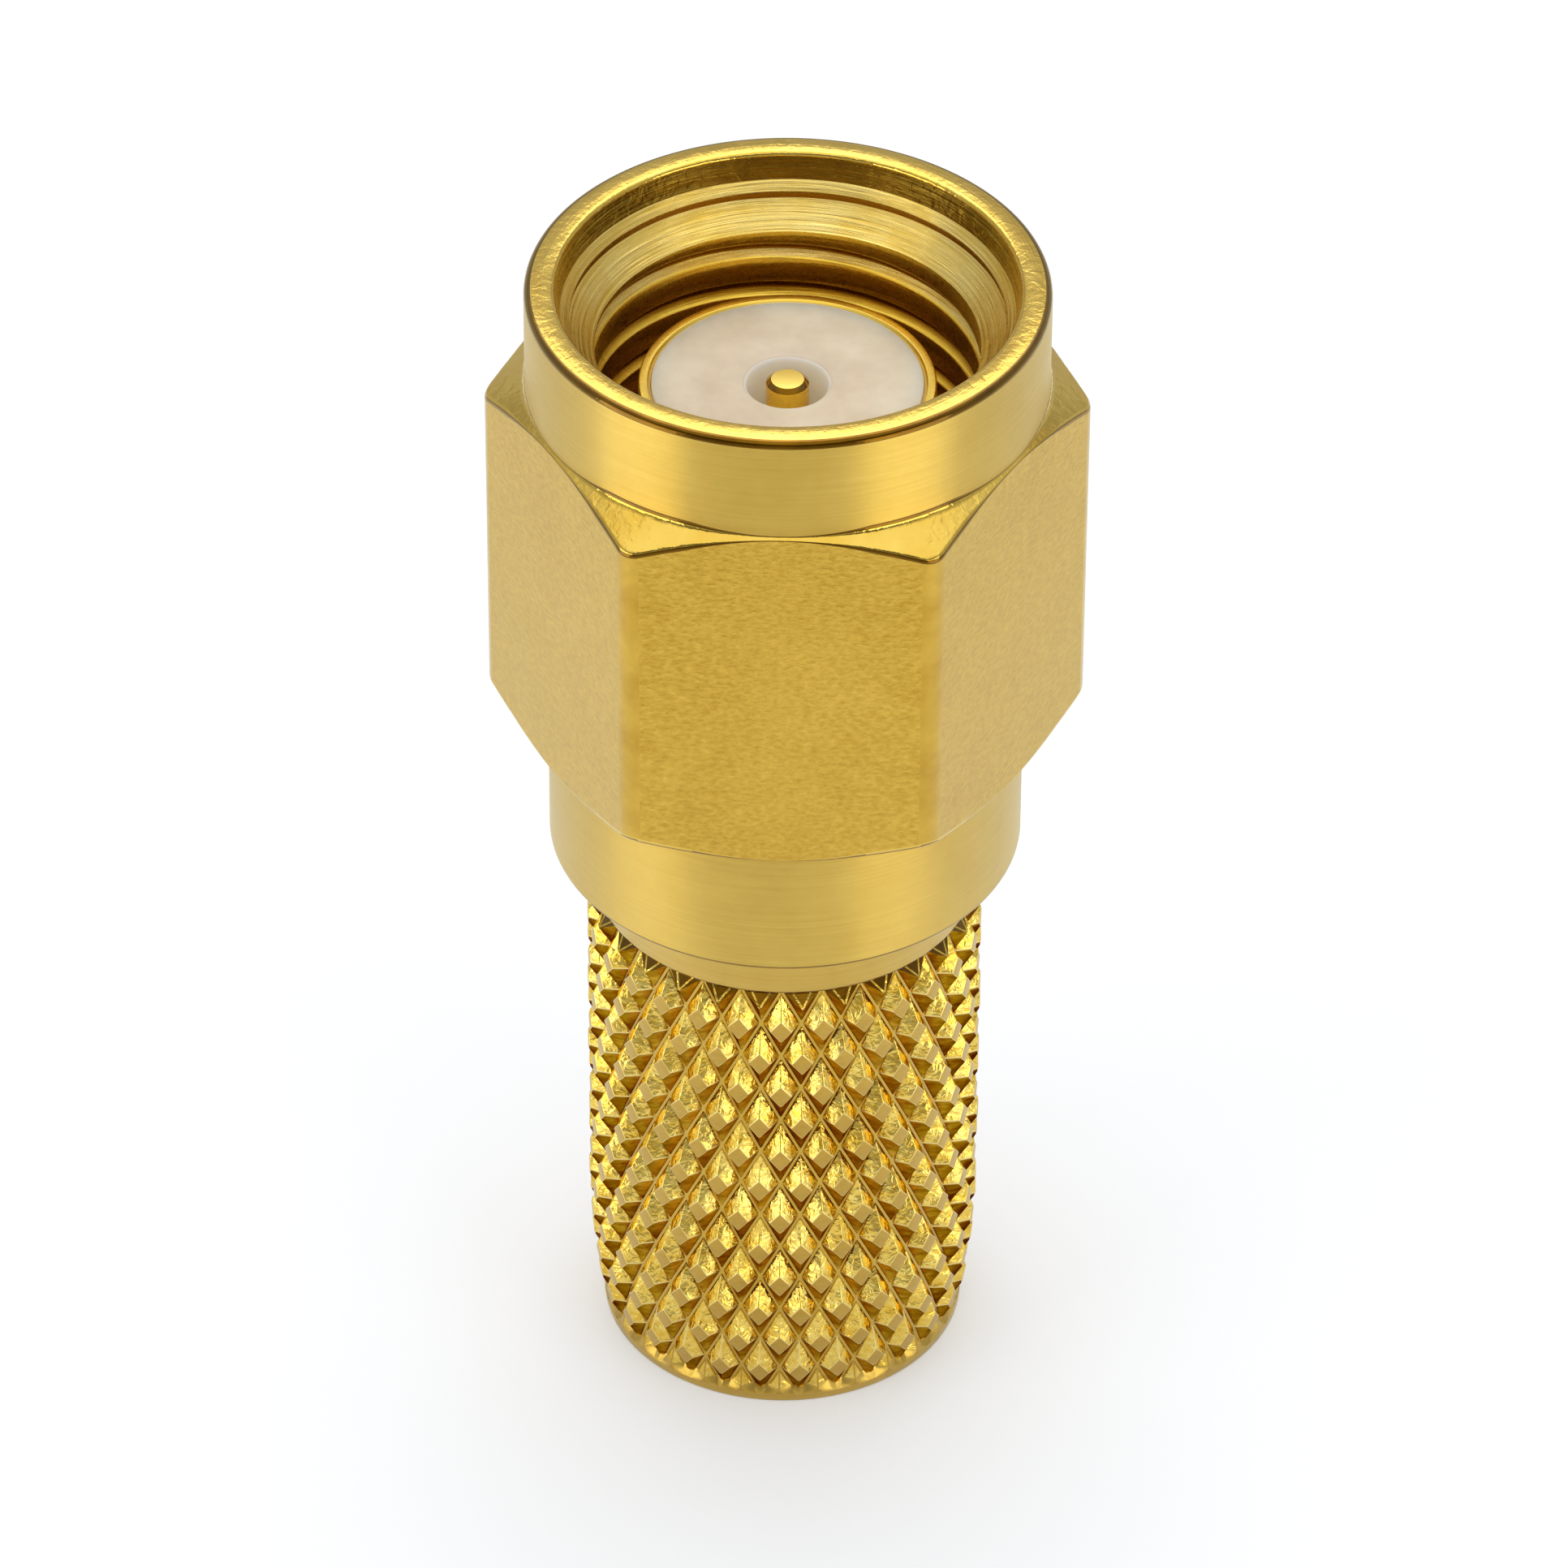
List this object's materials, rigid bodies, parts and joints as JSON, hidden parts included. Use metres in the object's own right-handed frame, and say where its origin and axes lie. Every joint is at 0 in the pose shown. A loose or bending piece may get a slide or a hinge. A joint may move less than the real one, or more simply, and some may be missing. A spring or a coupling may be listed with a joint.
{
  "type": "coaxial connector plug",
  "caption": "Gold-plated coaxial cable plug with a free-turning hexagon coupling nut and a diamond-knurled cable barrel.",
  "frame": {"origin": "centre of the cable barrel's foot face", "axes": "+Z along the plug's axis towards its mating end, one flat of the coupling nut towards -Y at rest"},
  "size_m": [0.0092, 0.008, 0.0198],
  "materials": {
    "nut_gold": "gold plated, satin faces and brushed rims",
    "body_gold": "gold plated, turned",
    "barrel_gold": "gold plated, knurled",
    "ring_bronze": "plain spring bronze",
    "gasket_rubber": "matt silicone rubber",
    "insulator_white": "turned white fluoroplastic",
    "contact_gold": "gold plated, polished"
  },
  "bodies": {
    "plug_body": {"body": "body_gold", "crimp_barrel": "barrel_gold", "front_insulator": "insulator_white", "rear_insulator": "insulator_white", "centre_contact": "contact_gold", "retaining_ring": "ring_bronze", "gasket": "gasket_rubber"},
    "nut": {"coupling_nut": "nut_gold"}
  },
  "joints": [
    {"name": "nut_spin", "type": "hinge", "parent": "plug_body", "child": "nut", "pos_m": [0, 0, 0], "axis": [0, 0, 1], "continuous": true}
  ]
}
